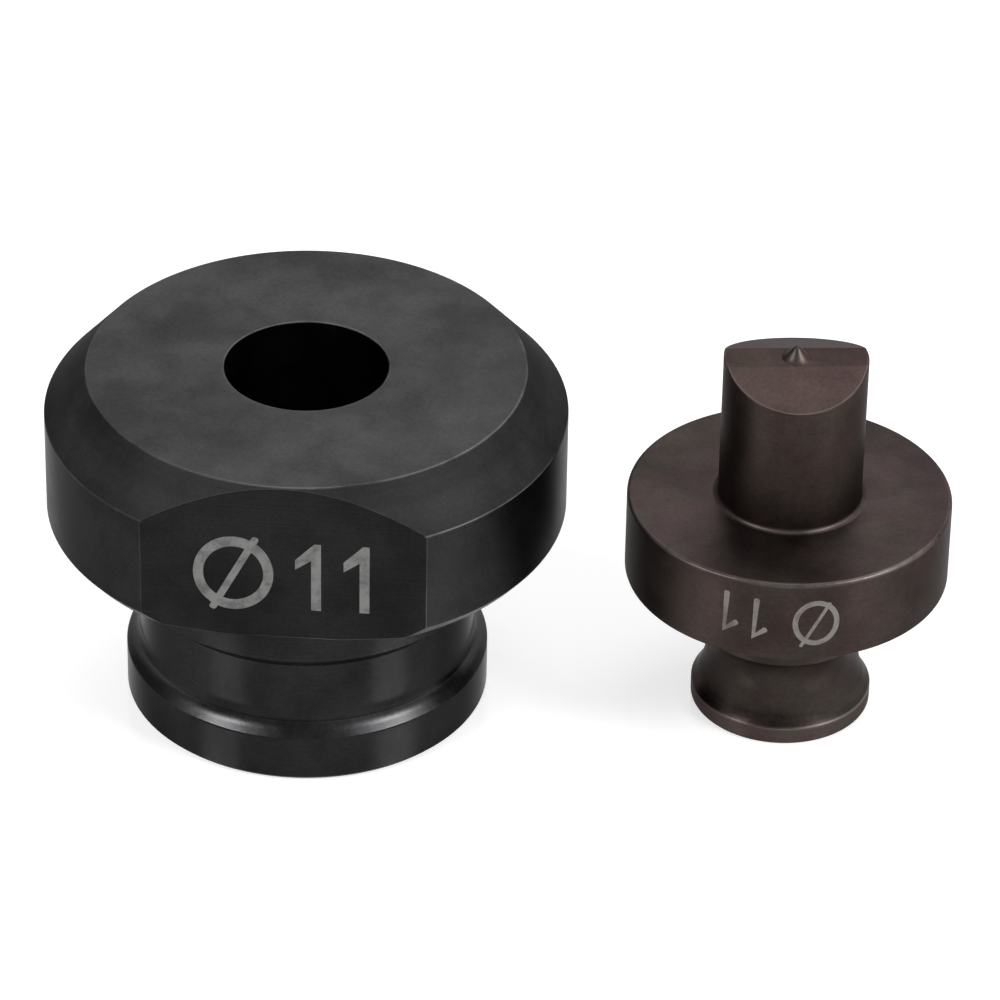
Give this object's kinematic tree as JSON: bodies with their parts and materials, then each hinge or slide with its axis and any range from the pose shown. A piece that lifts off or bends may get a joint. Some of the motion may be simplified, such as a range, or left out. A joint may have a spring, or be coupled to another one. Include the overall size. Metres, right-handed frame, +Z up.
{
  "type": "hydraulic hole punch tooling",
  "caption": "Round punch and matching die for a hydraulic hole punch: a flanged punch standing nose up beside a chamfered die ring with a keying flat and a grooved spigot.",
  "frame": {"origin": "middle of the pair's bounding box, on the surface that both pieces stand on", "axes": "+Z up along both tools' turning axes, +X from the die to the punch, the die's flat faces -Y"},
  "size_m": [0.0694, 0.0368, 0.032],
  "materials": {
    "black_oxide_steel": "satin black oxide",
    "brown_black_steel": "satin, turned, brown black"
  },
  "bodies": {
    "die": {"die": "black_oxide_steel"},
    "punch": {"punch": "brown_black_steel"}
  },
  "joints": [
    {"name": "punch_lift", "type": "slide", "parent": "die", "child": "punch", "axis": [0, 0, 1], "range_m": [0, 0.035]}
  ]
}
